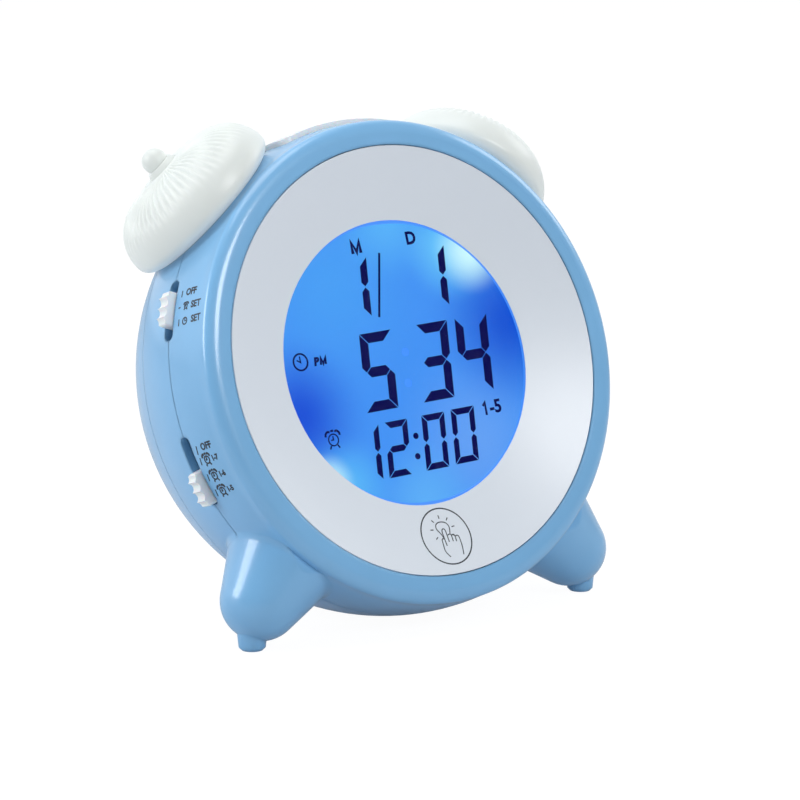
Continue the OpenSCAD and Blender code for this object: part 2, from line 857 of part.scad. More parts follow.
module bell_base(side) {
    color(MILKY) in_head() radial(side * bell_angle, bell_tilt) translate([0, 0, bell_reach]) difference() {
        union() {
            rotate_extrude() difference() {
                bell_lower_section(0);
                bell_lower_section(bell_wall);
            }
            translate([0, 0, -bell_base_h - seat_plate_t - 2 * seat_gap])
                cylinder(r = bell_neck_r, h = seat_plate_t + 3 * seat_gap);
            translate([0, 0, -bell_base_h - seat_plate_t - 2 * seat_gap - bell_flange_t])
                cylinder(r = bell_neck_r + 2, h = bell_flange_t);
        }
        translate([0, 0, -20]) cylinder(r = bell_neck_r / 2, h = 30);
    }
}

module bell_ball(side) {
    color(MILKY) in_head() radial(side * bell_angle, bell_tilt) translate([0, 0, bell_reach]) {
        translate([0, 0, ball_h]) sphere(r = ball_r);
        translate([0, 0, bell_h - 0.4]) cylinder(r1 = collar_r, r2 = collar_r - 0.7, h = 1.5);
        translate([0, 0, bell_h - bell_wall - 1]) cylinder(r = 1.5, h = 3);
    }
}

module bell_lamps() {
    in_head() radial_bells() translate([0, 0, bell_reach + bell_floor]) {
        color(BOARD_GREEN) cylinder(r = bell_r / 2, h = lamp_board_t);
        color([1, 0.95, 0.7]) for (turn = [0, 120, 240])
            rotate([0, 0, turn]) translate([4.5, -1.7, lamp_board_t]) cube([3.4, 3.4, 1.6]);
    }
}

// ---------- snooze bar ----------

module snooze_bar() {
    color(MILKY) in_head() {
        intersection() {
            snooze_prism(0);
            difference() {
                barrel_solid(-snooze_proud, 0);
                barrel_solid(wall + snooze_skirt, 0);
            }
        }
        intersection() {
            snooze_prism(snooze_flange);
            difference() {
                barrel_solid(wall + seat_gap, shelf_back + slide_gap);
                barrel_solid(wall + snooze_skirt, 0);
            }
        }
        intersection() {
            translate([0, snooze_rib_y, -widest_depth]) rotate([-90, 0, 0])
                cylinder(r = snooze_rib_r, h = 10);
            barrel_solid(wall / 2, 0);
        }
    }
}

// A square push switch standing on y = 0
module push_switch() {
    color(STEEL) translate([-tact_w / 2, 0, -tact_w / 2]) cube([tact_w, tact_h, tact_w]);
    color("black") rotate([-90, 0, 0]) cylinder(r = tact_plunger_r, h = tact_h + tact_plunger_h);
}

module snooze_board() {
    color(BOARD_GREEN) in_head() difference() {
        translate([-bracket_x - bracket_w, snooze_board_y, -widest_depth - snooze_board_w / 2])
            cube([2 * (bracket_x + bracket_w), small_board_t, snooze_board_w]);
        both_sides() translate([bracket_x, snooze_board_y + 3, -snooze_screw_depth])
            rotate([90, 0, 0]) cylinder(r = small_screw_r + 0.2, h = 5);
    }
}

module snooze_switch() {
    in_head() translate([0, snooze_board_y + small_board_t, -widest_depth]) push_switch();
}

// ---------- side slides ----------

// Side view of a knob: three ridges between scallops, and rounded ends
module knob_section(low, top) {
    scallop_y = top - 0.05 + sqrt(pow(knob_scallop_r, 2) - pow(knob_pitch / 2, 2));
    shoulder = top - knob_end_drop - 1;
    difference() {
        union() {
            translate([-knob_l / 2, low]) square([knob_l, shoulder - low]);
            translate([1 - knob_l / 2, low]) square([knob_l - 2, top - low]);
            for (side = [-1, 1])
                translate([side * (knob_l / 2 - 1), shoulder]) circle(r = 1);
        }
        for (i = [-1.5:1:1.5])
            translate([i * knob_pitch, scallop_y]) circle(r = knob_scallop_r);
    }
}

// Knob on a carriage, in the frame of its slot
module slide_knob() {
    top = barrel_r + knob_proud;
    low = carriage_top - carriage_t;
    intersection() {
        rotate([90, 0, 0]) linear_extrude(knob_w, center = true) knob_section(low, top);
        translate([0, 0, low - 1]) linear_extrude(top - low + 2)
            rounded_rect(knob_l, knob_w, knob_corner_r);
    }
    difference() {
        translate([-knob_l / 2, -carriage_w / 2, low]) cube([knob_l, carriage_w, carriage_t]);
        translate([-0.9, -0.9, low - 1]) cube([1.8, 1.8, 1.9]);
    }
}

module time_knob() { color("white") in_head() radial(-time_angle) slide_knob(); }

module alarm_knob() {
    color("white") in_head() radial(-alarm_angle) translate([alarm_rest, 0, 0]) slide_knob();
}

module slide_switch() {
    color(STEEL) translate([-switch_l / 2 - 1, -switch_w / 2, switch_floor])
        cube([switch_l + 2, switch_w, switch_h]);
}

module time_switch() { in_head() radial(-time_angle) slide_switch(); }

module alarm_switch() { in_head() radial(-alarm_angle) slide_switch(); }

module switch_boards() {
    color(BOARD_GREEN) in_head() for (angle = [time_angle, alarm_angle]) radial(-angle) difference() {
        translate([-switch_post_x - 2.2, -3.4, switch_floor - small_board_t])
            cube([2 * switch_post_x + 4.4, switch_post_back + 5.8, small_board_t]);
        for (side = [-1, 1])
            translate([side * switch_post_x, switch_post_back, 0]) cylinder(r = small_screw_r + 0.2, h = FAR);
    }
}

// ---------- rear ----------

module set_button(y) {
    color("white") in_head() {
        intersection() {
            translate([button_x, y, 0]) disc_at(button_flange_depth - EPS, 40, button_r);
            barrel_solid(-button_proud, 0);
        }
        translate([button_x, y, 0])
            disc_at(button_flange_depth - button_flange_t, button_flange_t, button_flange_r);
    }
}

module up_button() { set_button(button_top_y); }

module down_button() { set_button(button_low_y); }

module button_switches() {
    in_head() for (y = [button_top_y, button_low_y])
        translate([button_x, y, -button_board_back]) rotate([-90, 0, 0]) push_switch();
}

module button_board() {
    color(BOARD_GREEN) in_head() difference() {
        translate([button_x, button_post_y, 0])
            slab_at(button_board_back - small_board_t, small_board_t, 13.5, button_top_y - button_low_y + 9);
        for (side = [-1, 1])
            translate([button_x + side * button_post_dx, button_post_y, 0])
                disc_at(0, FAR, small_screw_r + 0.2);
    }
}

module speaker() {
    in_head() translate([0, speaker_y, 0]) {
        color(STEEL) difference() {
            disc_at(speaker_front - speaker_t, speaker_t, speaker_r);
            disc_at(speaker_front - 1.2, 3, speaker_r - 1.6);
        }
        color([0.2, 0.2, 0.22]) disc_at(speaker_front - 1.2, 0.8, speaker_r / 3);
        color([0.3, 0.3, 0.32]) disc_at(speaker_front - speaker_t - magnet_t, magnet_t, magnet_r);
    }
}

module battery_door() {
    color(BODY_BLUE) in_head() difference() {
        intersection() {
            door_prism(0);
            difference() {
                barrel_solid(0, 0);
                barrel_solid(door_t, 0);
            }
        }
        translate([0, door_h / 2 - cell_drop - 3, -back_depth - 1.2]) rotate([0, 90, 0])
            cylinder(r = 2.2, h = 14, center = true);
    }
}

module cell_rows() {
    for (row = [-1:1]) translate([0, row * cell_pitch - cell_drop, -cell_depth])
        rotate([0, row == 0 ? 180 : 0, 0]) children();
}

module batteries() {
    in_head() cell_rows() rotate([0, 90, 0]) {
        color([0.2, 0.2, 0.22]) translate([0, 0, -cell_l / 2]) cylinder(r = cell_r, h = cell_l - 0.8);
        color(STEEL) translate([0, 0, cell_l / 2 - 0.9]) cylinder(r = 1.9, h = 0.9);
    }
}

module battery_springs() {
    room = bay_half_x - cell_l / 2 - 0.4;
    color(STEEL) in_head() cell_rows() translate([-bay_half_x + 0.4, 0, 0]) rotate([0, 90, 0])
        coil(3.4, 1.8, room, 0.3, 3);
}

module battery_plates() {
    plate_w = 2 * cell_r - 1.5;
    color(STEEL) in_head() cell_rows() {
        translate([-bay_half_x, -plate_w / 2, -plate_w / 2]) cube([0.4, plate_w, plate_w]);
        translate([bay_half_x - 0.4, -plate_w / 2, -plate_w / 2]) cube([0.4, plate_w, plate_w]);
        translate([cell_l / 2, 0, 0]) rotate([0, 90, 0])
            cylinder(r1 = 1.5, r2 = 2.2, h = bay_half_x - cell_l / 2 - 0.4);
    }
}

// ---------- screws ----------

// A pan-head screw with a cross recess: the head stands on z = 0 and the shank points to +z
module screw(shank_r, length, head_r, head_h) {
    color(STEEL) difference() {
        union() {
            translate([0, 0, -head_h]) cylinder(r1 = head_r * 0.8, r2 = head_r, h = head_h);
            cylinder(r = shank_r, h = length);
        }
        for (turn = [0, 90])
            rotate([0, 0, turn]) translate([-head_r * 0.55, -head_r * 0.12, -head_h - 1])
                cube([head_r * 1.1, head_r * 0.24, head_h * 0.6 + 1]);
    }
}

module case_screws() {
    in_head() case_screw_places() translate([0, 0, -case_seat])
        screw(case_screw_r, case_screw_l - 1, case_head_r, case_head_h);
}

module face_screws() {
    in_head() four_corners(face_boss_x, face_boss_y) translate([0, 0, -shelf_back])
        screw(small_screw_r, shelf_t + 2.6, small_head_r, small_head_h);
}

module board_screws() {
    in_head() four_corners(board_boss_x, board_boss_y) translate([0, 0, -board_back])
        screw(small_screw_r, board_t + 5, small_head_r, small_head_h);
}

module small_screws() {
    in_head() {
        both_sides() translate([bracket_x, snooze_board_y + small_board_t, -snooze_screw_depth])
            rotate([90, 0, 0])
            screw(small_screw_r, small_board_t + bracket_t - 0.4, small_head_r, small_head_h);
        for (side = [-1, 1])
            translate([button_x + side * button_post_dx, button_post_y, small_board_t - button_board_back])
                rotate([180, 0, 0]) screw(small_screw_r, small_board_t + 4, small_head_r, small_head_h);
        for (angle = [time_angle, alarm_angle], side = [-1, 1])
            radial(-angle) translate([side * switch_post_x, switch_post_back, switch_floor - small_board_t])
                screw(small_screw_r, small_board_t + 3, small_head_r, small_head_h);
    }
}

front_shell();
rear_shell();
face_dish();
display_window();
display_glass();
display_frame();
light_guide();
contact_strips();
main_board();
board_parts();
touch_pad();
touch_spring();
bell(-1);  // left_bell
bell(1);  // right_bell
bell_base(-1);  // left_bell_base
bell_base(1);  // right_bell_base
bell_ball(-1);  // left_bell_ball
bell_ball(1);  // right_bell_ball
bell_lamps();
snooze_bar();
snooze_board();
snooze_switch();
time_knob();
alarm_knob();
time_switch();
alarm_switch();
switch_boards();
up_button();
down_button();
button_switches();
button_board();
speaker();
battery_door();
batteries();
battery_springs();
battery_plates();
case_screws();
face_screws();
board_screws();
small_screws();
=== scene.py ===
import bpy
import bmesh
import math
from mathutils import Matrix, Vector


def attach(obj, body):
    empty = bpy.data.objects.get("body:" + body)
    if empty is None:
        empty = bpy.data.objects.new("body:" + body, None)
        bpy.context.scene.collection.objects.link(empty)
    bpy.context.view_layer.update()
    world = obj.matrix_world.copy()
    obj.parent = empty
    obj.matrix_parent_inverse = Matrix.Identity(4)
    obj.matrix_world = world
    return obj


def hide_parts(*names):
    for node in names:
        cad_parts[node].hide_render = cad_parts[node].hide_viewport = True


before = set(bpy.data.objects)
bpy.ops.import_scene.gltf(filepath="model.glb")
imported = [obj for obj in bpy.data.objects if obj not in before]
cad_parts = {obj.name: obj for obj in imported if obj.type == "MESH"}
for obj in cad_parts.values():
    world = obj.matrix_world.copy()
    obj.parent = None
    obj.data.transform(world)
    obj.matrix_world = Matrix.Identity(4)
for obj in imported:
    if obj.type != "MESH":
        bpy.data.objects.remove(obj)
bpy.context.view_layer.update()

# Camera at a low three-quarter angle on the clock's left, with a long lens. The clock leans back,
# and what follows is laid out in the leaning frame of its face: x right, y up the face, z out of
# it, in millimetres.
lean = math.radians(17.5)
face_to_world = (Matrix.Translation((0, -0.0266, 0.060))
                 @ Matrix.Rotation(math.pi / 2 - lean, 4, "X")
                 @ Matrix.Scale(0.001, 4))
turn, rise = math.radians(-35.7), math.radians(10.7)
distance, shift_right, shift_up = 0.7189, -0.00448, -0.00936
back = Vector((math.sin(turn) * math.cos(rise), -math.cos(turn) * math.cos(rise), math.sin(rise)))
right = Vector((math.cos(turn), math.sin(turn), 0))
over = back.cross(right)
eye = bpy.data.objects.new("eye", bpy.data.cameras.new("eye"))
bpy.context.scene.collection.objects.link(eye)
eye.matrix_world = Matrix((right, over, back)).transposed().to_4x4()
eye.matrix_world.translation = (face_to_world @ Vector((0, 0, 0)) + distance * back
                                + shift_right * right + shift_up * over)
eye.data.lens = 144.1
eye.data.sensor_width = 36
eye.data.clip_start = 0.05
bpy.context.scene.camera = eye
bpy.context.scene.view_settings.view_transform = "Standard"

# Studio: a soft lamp on the left and a little behind, one high in front, a broad one overhead and
# a weaker one on the right, in a room that is bright behind the clock and dimmer in front. The
# camera sees the room white.
lamp_aim = Vector((0, 0, 0.055))
for lamp_name, spot, width, height, power in (
        ("key lamp", (-1.10, 0.42, 0.52), 0.50, 0.60, 6.2),
        ("front lamp", (0.15, -1.13, 0.80), 0.45, 0.40, 6.5),
        ("top lamp", (-0.10, 0.05, 1.15), 0.7, 0.7, 4.4),
        ("side lamp", (1.10, -0.05, 0.65), 0.5, 0.5, 2.4)):
    lamp = bpy.data.objects.new(lamp_name, bpy.data.lights.new(lamp_name, "AREA"))
    lamp.data.shape = "RECTANGLE"
    lamp.data.size = width
    lamp.data.size_y = height
    lamp.data.energy = power
    lamp.location = spot
    lamp.rotation_euler = (lamp_aim - Vector(spot)).to_track_quat("-Z", "Y").to_euler()
    bpy.context.scene.collection.objects.link(lamp)


def feed(tree, place, given):
    """Give an input of a node a value, or link it to a socket."""
    if isinstance(given, bpy.types.NodeSocket):
        tree.links.new(given, place)
    else:
        place.default_value = given


def add(tree, kind, **inputs):
    """A new shader node, with some inputs given by name."""
    node = tree.nodes.new("ShaderNode" + kind)
    for name, given in inputs.items():
        feed(tree, node.inputs[name.replace("_", " ")], given)
    return node


def smoothstep(tree, **inputs):
    """A value that rises or falls smoothly between two others."""
    node = add(tree, "MapRange", **inputs)
    node.interpolation_type = "SMOOTHSTEP"
    return node.outputs["Result"]


def blend_shaders(tree, share, first, second, output):
    """Send a mix of two shaders to the output: all the first at a share of 0."""
    both = add(tree, "MixShader", Fac=share)
    feed(tree, both.inputs[1], first.outputs[0])
    feed(tree, both.inputs[2], second.outputs[0])
    add(tree, output, Surface=both.outputs[0])


studio = bpy.data.worlds.new("studio")
bpy.context.scene.world = studio
studio.use_nodes = True
tree = studio.node_tree
tree.nodes.clear()
split = add(tree, "SeparateXYZ", Vector=add(tree, "TexCoord").outputs["Generated"])
room = smoothstep(tree, Value=split.outputs["Y"], From_Min=-0.1, From_Max=0.6, To_Min=0.24,
                  To_Max=1.0)
fill = add(tree, "Background", Color=(0.90, 0.95, 1, 1), Strength=room)
seen = add(tree, "Background", Color=(1, 1, 1, 1), Strength=1.0)
blend_shaders(tree, add(tree, "LightPath").outputs["Is Camera Ray"], fill, seen, "OutputWorld")


# Floor: a sheet of white paper that glows a little of its own, so that the camera sees it white
# apart from the clock's soft shadow. It belongs to the studio and not to the clock.
def calc(tree, kind, *values):
    """The result of a Math node on numbers and sockets."""
    node = tree.nodes.new("ShaderNodeMath")
    node.operation = kind
    for place, value in zip(node.inputs, values):
        feed(tree, place, value)
    return node.outputs[0]


floor_mesh = bpy.data.meshes.new("floor")
floor_mesh.from_pydata([(-3, -3, 0), (3, -3, 0), (3, 3, 0), (-3, 3, 0)], [], [(0, 1, 2, 3)])
floor = bpy.data.objects.new("floor", floor_mesh)
bpy.context.scene.collection.objects.link(floor)
paper = bpy.data.materials.new("white paper")
paper.use_nodes = True
tree = paper.node_tree
tree.nodes.clear()
matt = add(tree, "BsdfDiffuse", Color=(0.56, 0.57, 0.59, 1))
bright = add(tree, "Emission", Strength=1.13)
camera_ray = add(tree, "LightPath").outputs["Is Camera Ray"]
blend_shaders(tree, calc(tree, "MULTIPLY_ADD", camera_ray, 0.75, 0.10), matt, bright,
              "OutputMaterial")
floor_mesh.materials.append(paper)


# Housing: two shells and a battery door moulded in light blue ABS, with the smooth glossy skin
# they have straight from the mould. The front shell carries the lip and both legs, the rear one
# its foot.
def moulded(name, colour, rough, mottle=0.03, grain=0.02, depth=0.1, **sockets):
    """Injection-moulded plastic: very slight mottling and a fine skin."""
    skin = bpy.data.materials.new(name)
    skin.use_nodes = True
    tree = skin.node_tree
    place = add(tree, "TexCoord").outputs["Object"]
    cloud = add(tree, "TexNoise", Vector=place, Scale=60, Detail=3).outputs["Fac"]
    ramp = add(tree, "ValToRGB", Fac=cloud)
    low, high = ramp.color_ramp.elements
    low.position, high.position = 0.3, 0.7
    low.color = (*[c * (1 - mottle) for c in colour], 1)
    high.color = (*[min(c * (1 + mottle), 1) for c in colour], 1)
    spread = add(tree, "MapRange", Value=cloud, To_Min=rough - grain, To_Max=rough + grain)
    fine = add(tree, "TexNoise", Vector=place, Scale=2200, Detail=2).outputs["Fac"]
    bump = add(tree, "Bump", Height=fine, Strength=depth, Distance=0.0001)
    shader = tree.nodes["Principled BSDF"]
    feed(tree, shader.inputs["Base Color"], ramp.outputs["Color"])
    feed(tree, shader.inputs["Roughness"], spread.outputs["Result"])
    feed(tree, shader.inputs["Normal"], bump.outputs["Normal"])
    for socket, value in sockets.items():
        shader.inputs[socket.replace("_", " ")].default_value = value
    return skin


def dress(node, skin):
    """Give a CAD node its finish."""
    solid = bpy.data.objects[node]
    solid.data.materials.clear()
    solid.data.materials.append(skin)


blue, blue_rough = (0.205, 0.480, 0.785), 0.34
gloss = {"Coat_Weight": 0.7, "Coat_Roughness": 0.14}
housing_blue = moulded("housing blue", blue, blue_rough, **gloss)
tree = housing_blue.node_tree
rounded = add(tree, "Bevel", Radius=0.0012)
feed(tree, tree.nodes["Bump"].inputs["Normal"], rounded.outputs[0])
for node in ("front_shell", "rear_shell", "battery_door"):
    dress(node, housing_blue)


# Shoulder of the housing: the front shell's barrel runs into its lip in one soft round, turned as
# a ring that lies on the shell between the two. It is the same blue plastic.
def add_piece(name, mesh, body, slot, *nodes):
    """Put a finished mesh into the scene as a piece that rides on a body."""
    piece = bpy.data.objects.new(name, mesh)
    bpy.context.scene.collection.objects.link(piece)
    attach(piece, body)
    if nodes:
        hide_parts(*nodes)
    return piece


def turned(profile, steps):
    """A closed section of (radius, z) turned round the z axis, smooth but for sharp corners."""
    shape = bmesh.new()
    around = [2 * math.pi * i / steps for i in range(steps)]
    loops = [[shape.verts.new((r * math.cos(a), r * math.sin(a), z)) for a in around]
             for r, z in profile]
    for inner, outer in zip(loops, loops[1:] + loops[:1]):
        for i in range(steps):
            j = (i + 1) % steps
            shape.faces.new((inner[i], outer[i], outer[j], inner[j]))
    bmesh.ops.recalc_face_normals(shape, faces=shape.faces)
    for face in shape.faces:
        face.smooth = True
    for edge in shape.edges:
        edge.smooth = edge.calc_face_angle(0) < math.radians(35)
    return shape


def finished(name, shape, *skins):
    """Turn a bmesh into a mesh with its materials."""
    mesh = bpy.data.meshes.new(name)
    shape.to_mesh(mesh)
    shape.free()
    for skin in skins:
        mesh.materials.append(skin)
    return mesh


barrel_r, barrel_depth = 56.3, 15
lip_r, lip_depth, shoulder_depth = 55.2, 2.55, 5.2


def housing_radius(depth):
    """Radius of the barrel, and of the shoulder in front of it, at a depth behind the face."""
    if depth > shoulder_depth:
        return math.sqrt(barrel_r ** 2 - (depth - barrel_depth) ** 2)
    return lip_r + 0.034 * max(depth - lip_depth, 0) ** 2


slice_depth, above_shell = 0.25, 0.006
lip_top_r, lip_wide, lip_high = 51.7, 3.506, 2.36
soft = [(housing_radius(slice_depth * i) + above_shell, -slice_depth * i)
        for i in range(21, 10, -1)]
soft += [(lip_top_r + lip_wide * math.cos(a), -lip_depth + lip_high * math.sin(a))
         for a in [math.pi / 2 * i / 32 for i in range(33)]]
soft += [(51.6, -1.0), (53.6, -4.5)]
shoulder = turned(soft, 360)
shoulder.transform(face_to_world)
shoulder_blue = moulded("shoulder blue", blue, blue_rough, **gloss)
add_piece("front_shell_shoulder", finished("shoulder", shoulder, shoulder_blue), "clock", "body")


# Face: a shallow dished disc in pale grey, sprayed with a soft pearl, round a window for the
# display. It is one moulding, screwed from behind to the ledge inside the lip. The display's
# light on the wall of the window is painted: that wall glows blue over a dark blue colour.
def measured(tree, kind, place, other):
    """A number worked out from a place and a fixed vector."""
    node = tree.nodes.new("ShaderNodeVectorMath")
    node.operation = kind
    feed(tree, node.inputs[0], place)
    feed(tree, node.inputs[1], other)
    return node.outputs["Value"]


def mixed(tree, share, first, second):
    """A colour between two others: all the first at a share of 0."""
    mix = tree.nodes.new("ShaderNodeMix")
    mix.data_type = "RGBA"
    for name, given in (("Factor", share), ("A", first), ("B", second)):
        feed(tree, mix.inputs[name], given)
    return mix.outputs["Result"]


window_top, window_reach = -5.04, 0.0335
face_grey = moulded("face pearl grey", (0.77, 0.82, 0.88), 0.30, mottle=0.0)
dress("face_dish", face_grey)
tree = face_grey.node_tree
place = tree.nodes["Texture Coordinate"].outputs["Object"]
axis = (face_to_world.to_3x3() @ Vector((0, 0, 1))).normalized()
deep = calc(tree, "LESS_THAN", measured(tree, "DOT_PRODUCT", place, axis),
            (face_to_world @ Vector((0, 0, window_top))).dot(axis))
near = calc(tree, "LESS_THAN",
            measured(tree, "DISTANCE", place, face_to_world @ Vector((0, 0, -5.2))), window_reach)
# Painted light: on the window's wall the face glows blue and turns dark blue, in place of the
# display's light falling there.
painted_spill = calc(tree, "MULTIPLY", deep, near)
shader = tree.nodes["Principled BSDF"]
feed(tree, shader.inputs["Emission Color"], (0.05, 0.24, 0.80, 1))
feed(tree, shader.inputs["Emission Strength"], painted_spill)
feed(tree, shader.inputs["Base Color"],
     mixed(tree, painted_spill, tree.nodes["Color Ramp"].outputs["Color"], (0.02, 0.06, 0.22, 1)))

# Display window: a disc of clear acrylic, polished on both sides. It sits in a seat in the back of
# the face, held there by the display's frame.
clear = moulded("clear acrylic", (1, 1, 1), 0.03, mottle=0, grain=0.01, depth=0,
                Transmission_Weight=1.0, IOR=1.12)
dress("display_window", clear)

# Display: a backlit blue panel behind the window, with a thin margin of the same blue round it
# over the frame's front. Lamps in its light guide make it brighter at the upper right and the
# lower left, and weaker at the left and right edges.
panel_half, panel_back, panel_front = 32.5, -9.8, -7.12
margin_back, margin_front = -6.99, -6.96
backlit = bpy.data.materials.new("backlit blue")
backlit.use_nodes = True
tree = backlit.node_tree
place = add(tree, "TexCoord").outputs["Object"]
shade = (0.055, 0.285, 0.89, 1)
for colour, x, y, radius, strength in (
        ((0.065, 0.345, 0.90), -16, 20, 28, 0.9),
        ((0.10, 0.46, 0.94), 2, 33, 16, 0.9),
        ((0.125, 0.350, 0.89), 17, -20, 25, 0.95),
        ((0.11, 0.43, 0.92), 0, -32, 17, 0.9),
        ((0.008, 0.075, 0.66), -30, -9, 20, 1.0),
        ((0.008, 0.085, 0.64), 32, 7, 25, 1.0),
        ((0.14, 0.58, 0.96), 18, 25, 14, 0.95),
        ((0.62, 0.96, 1.0), 24, 24, 11, 1.0),
        ((0.10, 0.48, 0.93), -20, -26, 13, 0.9),
        ((0.60, 0.95, 1.0), -25, -24.5, 7.5, 1.0)):
    away = measured(tree, "DISTANCE", place, face_to_world @ Vector((x, y, -7)))
    glow = smoothstep(tree, Value=away, From_Max=radius * 0.001, To_Min=strength, To_Max=0.0)
    shade = mixed(tree, glow, shade, (*colour, 1))
shader = tree.nodes["Principled BSDF"]
for socket, given in (("Base Color", (0.002, 0.005, 0.02, 1)), ("Roughness", 0.5),
                      ("Specular IOR Level", 0.1), ("Emission Color", shade),
                      ("Emission Strength", 1.0)):
    feed(tree, shader.inputs[socket], given)
slab = bmesh.new()
bmesh.ops.create_cube(slab, size=1)
for v in slab.verts:
    v.co.x *= 2 * panel_half
    v.co.y *= 2 * panel_half
    v.co.z = v.co.z * (panel_front - panel_back) + (panel_front + panel_back) / 2
bmesh.ops.bevel(slab, geom=slab.edges[:], offset=0.15, segments=2, affect="EDGES")
slab.transform(face_to_world)
bmesh.ops.recalc_face_normals(slab, faces=slab.faces)
panel = finished("display_panel", slab, backlit)
margin = turned([(32.0, margin_back), (35.0, margin_back), (35.0, margin_front),
                 (32.0, margin_front)], 128)
margin.transform(face_to_world)
margin.from_mesh(panel)
margin.to_mesh(panel)
margin.free()
add_piece("display_panel", panel, "clock", "lcd", "display_glass")


# Display segments: near-black liquid-crystal shapes just under the window: the date on top, the
# time in tall slanted digits, and the alarm time below. Each is a flat plate on the panel's glass.
def plates(name, shapes, to_face, low, high, skin, body, slot):
    """Closed thin plates from flat outlines: shapes is a list of (points, faces) in a drawing
    plane, and to_face takes a drawing point and a height to the face's millimetres."""
    shape = bmesh.new()
    for points, faces in shapes:
        top, under = [[shape.verts.new(face_to_world @ Vector(to_face(x, y, height)))
                       for x, y in points] for height in (high, low)]
        sides = {}
        for face in faces:
            for a, b in zip(face, face[1:] + face[:1]):
                if (b, a) in sides:
                    del sides[(b, a)]
                else:
                    sides[(a, b)] = True
            shape.faces.new([top[i] for i in face])
            shape.faces.new([under[i] for i in reversed(face)])
        for a, b in sides:
            shape.faces.new([top[b], top[a], under[a], under[b]])
    bmesh.ops.recalc_face_normals(shape, faces=shape.faces)
    return add_piece(name, finished(name, shape, skin), body, slot)


def inset(outline, gap):
    """A convex outline with every edge moved inward."""
    edges = list(zip(outline, outline[1:] + outline[:1]))
    inward = 1 if sum(a[0] * b[1] - b[0] * a[1] for a, b in edges) > 0 else -1
    moved = []
    for a, b in edges:
        along = (Vector(b) - Vector(a)).normalized()
        moved.append((Vector(a) + Vector((-along.y, along.x)) * gap * inward, along))
    corners = []
    for i in range(len(outline)):
        (p, u), (q, v) = moved[i - 1], moved[i]
        t = ((q - p).x * v.y - (q - p).y * v.x) / (u.x * v.y - u.y * v.x)
        corners.append(tuple(p + u * t))
    return corners


def digit(segments, w, h, t, gap):
    """The named segments of a seven-segment digit, mitred at the corners, from its lower left."""
    m = h / 2
    forms = {
        "a": [(0, h), (w, h), (w - t, h - t), (t, h - t)],
        "d": [(0, 0), (t, t), (w - t, t), (w, 0)],
        "f": [(0, h), (t, h - t), (t, m + t / 2), (t / 2, m), (0, m + t / 2)],
        "e": [(0, 0), (0, m - t / 2), (t / 2, m), (t, m - t / 2), (t, t)],
        "b": [(w, h), (w, m + t / 2), (w - t / 2, m), (w - t, m + t / 2), (w - t, h - t)],
        "c": [(w, 0), (w - t, t), (w - t, m - t / 2), (w - t / 2, m), (w, m - t / 2)],
        "g": [(t / 2, m), (t, m + t / 2), (w - t, m + t / 2), (w - t / 2, m), (w - t, m - t / 2),
              (t, m - t / 2)]}
    return [inset(forms[s], gap) for s in segments]


def circle(cx, cy, r, steps):
    """Points of a circle."""
    around = [2 * math.pi * i / steps for i in range(steps)]
    return [(cx + r * math.cos(a), cy + r * math.sin(a)) for a in around]


def ring(cx, cy, r_in, r_out, steps=48):
    """A flat ring as points and faces."""
    faces = [(i, i + steps, (i + 1) % steps + steps, (i + 1) % steps) for i in range(steps)]
    return circle(cx, cy, r_in, steps) + circle(cx, cy, r_out, steps), faces


def disc(cx, cy, r, steps=32):
    """A flat disc as points and one face."""
    return circle(cx, cy, r, steps), [tuple(range(steps))]


def stroke(path, width):
    """A ribbon of even width along a path, as points and faces, with mitred joints."""
    count = len(path)
    left_side, right_side = [], []
    for i, here in enumerate(path):
        near = path[max(i - 1, 0):i + 2]
        ways = [(Vector(b) - Vector(a)).normalized() for a, b in zip(near, near[1:])]
        way = sum(ways, Vector((0, 0))).normalized()
        half = width / 2 / max(way.dot(ways[0]), 0.5)
        side = Vector((-way.y, way.x)) * half
        left_side.append(tuple(Vector(here) + side))
        right_side.append(tuple(Vector(here) - side))
    faces = [(i, i + 1, i + 1 + count, i + count) for i in range(count - 1)]
    return left_side + right_side, faces


def smooth_path(corners, steps=6):
    """A path rounded through its corners with a Catmull-Rom curve."""
    last = len(corners) - 1
    path = []
    for i in range(last):
        a, b, c, d = [Vector(corners[min(max(j, 0), last)]) for j in (i - 1, i, i + 1, i + 2)]
        for k in range(steps):
            t = k / steps
            path.append(tuple(0.5 * (2 * b + (c - a) * t + (2 * a - 5 * b + 4 * c - d) * t ** 2
                                     + (3 * b - a - 3 * c + d) * t ** 3)))
    return path + [tuple(corners[-1])]


def letters(text, height, x, y, bold=0.0, squeeze=1.0, slant=0.0):
    """Plain lettering centred on a point, as points and faces."""
    curve = bpy.data.curves.new("letters", "FONT")
    curve.body = text
    curve.align_x = "CENTER"
    curve.align_y = "CENTER"
    curve.resolution_u = 3
    curve.offset = bold
    made = bpy.data.objects.new("letters", curve)
    bpy.context.scene.collection.objects.link(made)
    mesh = bpy.data.meshes.new_from_object(made)
    bpy.data.objects.remove(made)
    bpy.data.curves.remove(curve)
    grow = height / 0.69
    shape = bmesh.new()
    shape.from_mesh(mesh)
    bmesh.ops.remove_doubles(shape, verts=shape.verts, dist=1e-5)
    shape.verts.index_update()
    flat = [(x + (v.co.x * squeeze + v.co.y * slant) * grow, y + v.co.y * grow)
            for v in shape.verts]
    faces = [tuple(v.index for v in face.verts) for face in shape.faces]
    shape.free()
    bpy.data.meshes.remove(mesh)
    return flat, faces


def letter_m(x, y, height, line, slant=0.0):
    """A capital M drawn with one line."""
    corners = ((-0.4, -0.5), (-0.4, 0.5), (0.0, -0.42), (0.4, 0.5), (0.4, -0.5))
    return stroke([(x + (a + b * slant) * height, y + b * height) for a, b in corners], line)


